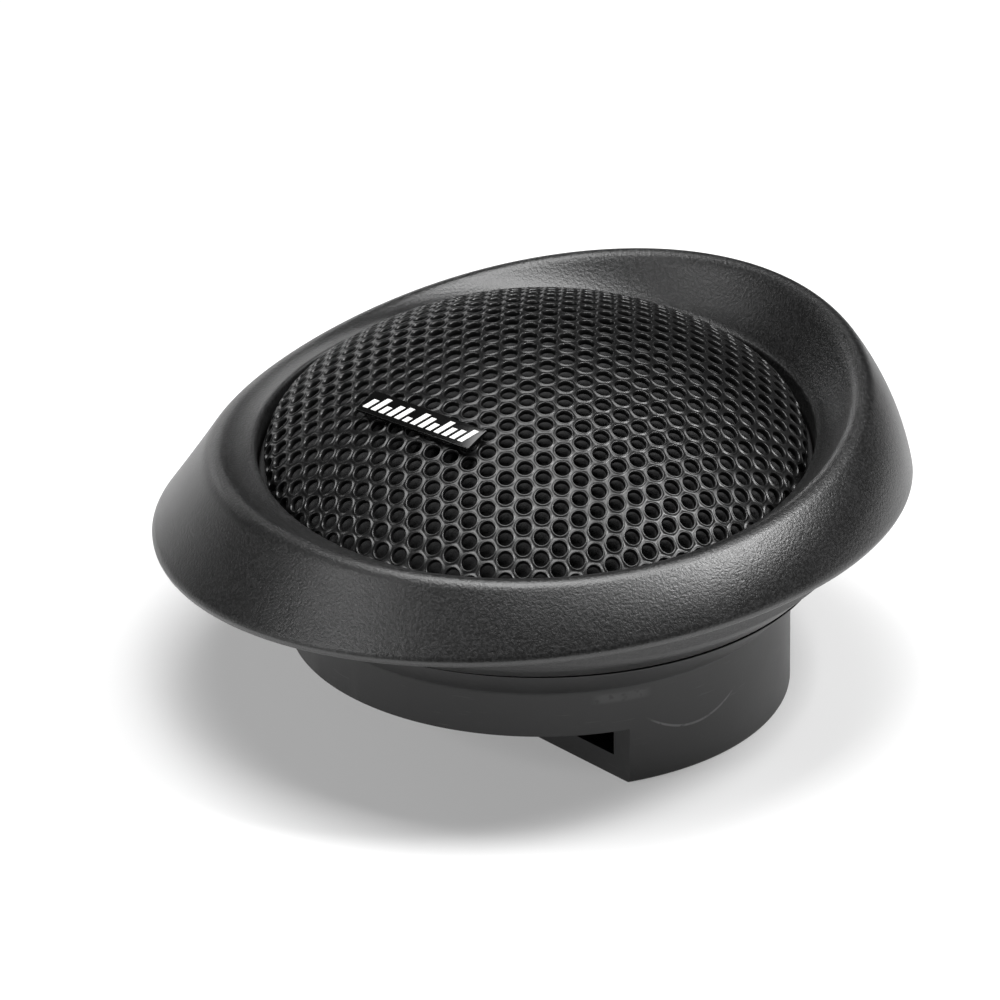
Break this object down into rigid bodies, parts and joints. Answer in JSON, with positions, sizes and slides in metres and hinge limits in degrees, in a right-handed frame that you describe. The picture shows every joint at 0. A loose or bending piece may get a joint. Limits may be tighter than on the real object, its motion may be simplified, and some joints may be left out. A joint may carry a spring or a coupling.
{
  "type": "car tweeter",
  "caption": "Dome tweeter in an angled surface-mount housing: domed perforated grille in a slanted flared bezel on a round cup with a D-shaped rear wiring chamber.",
  "frame": {"origin": "centre of the cup's circle on its flat rear face", "axes": "+Z along the cup's axis from the rear face to the listener, +X to the housing's right and +Y to its back, with the badge and the rear chamber's flat side facing front left"},
  "size_m": [0.0628, 0.0628, 0.0299],
  "materials": {
    "cup_plastic": "smooth moulded black plastic with light scratches",
    "bezel_plastic": "fine spark-textured satin black plastic",
    "grille_steel": "perforated steel sheet, satin black paint",
    "acoustic_cloth": "thin black non-woven acoustic cloth",
    "badge_gloss": "gloss black plate with a plain printed bar motif",
    "foam": "black open-cell foam",
    "felt": "grey wool felt",
    "zinc_steel": "zinc-plated steel",
    "magnet_nickel": "nickel-plated magnet",
    "silk": "doped silk",
    "former_aluminium": "thin bright aluminium foil",
    "copper": "enamelled copper wire",
    "phenolic": "brown paper phenolic board",
    "brass": "bright stamped brass",
    "capacitor_film": "blue shrink sleeve",
    "tinned_wire": "tinned copper wire"
  },
  "bodies": {
    "housing": {"mounting_cup": "cup_plastic", "bezel_ring": "bezel_plastic", "grille_mesh": "grille_steel", "dust_cloth": "acoustic_cloth", "grille_retainer": "cup_plastic", "badge_plate": "badge_gloss", "seat_gasket": "foam", "front_plate": "cup_plastic", "driver_screw_1": "zinc_steel", "driver_screw_2": "zinc_steel", "driver_screw_3": "zinc_steel", "yoke_pot": "zinc_steel", "magnet_disc": "magnet_nickel", "pole_plate": "zinc_steel", "pole_felt": "felt", "rear_foam": "foam", "surround_clamp": "cup_plastic", "terminal_board": "phenolic", "terminal_tab_plus": "brass", "terminal_tab_minus": "brass", "terminal_rivet_plus": "brass", "terminal_rivet_minus": "brass", "tinsel_lead_plus": "copper", "tinsel_lead_minus": "copper", "crossover_capacitor": "capacitor_film", "capacitor_lead_out": "tinned_wire", "capacitor_lead_in": "tinned_wire"},
    "diaphragm": {"dome_diaphragm": "silk", "surround": "silk", "voice_coil_former": "former_aluminium", "voice_coil": "copper"}
  },
  "joints": [
    {"name": "diaphragm_travel", "type": "slide", "parent": "housing", "child": "diaphragm", "axis": [0, 0, 1], "range_m": [-0.0003, 0.0003], "stiffness_N_per_m": 150, "deforming": ["surround", "tinsel_lead_plus", "tinsel_lead_minus"]}
  ]
}
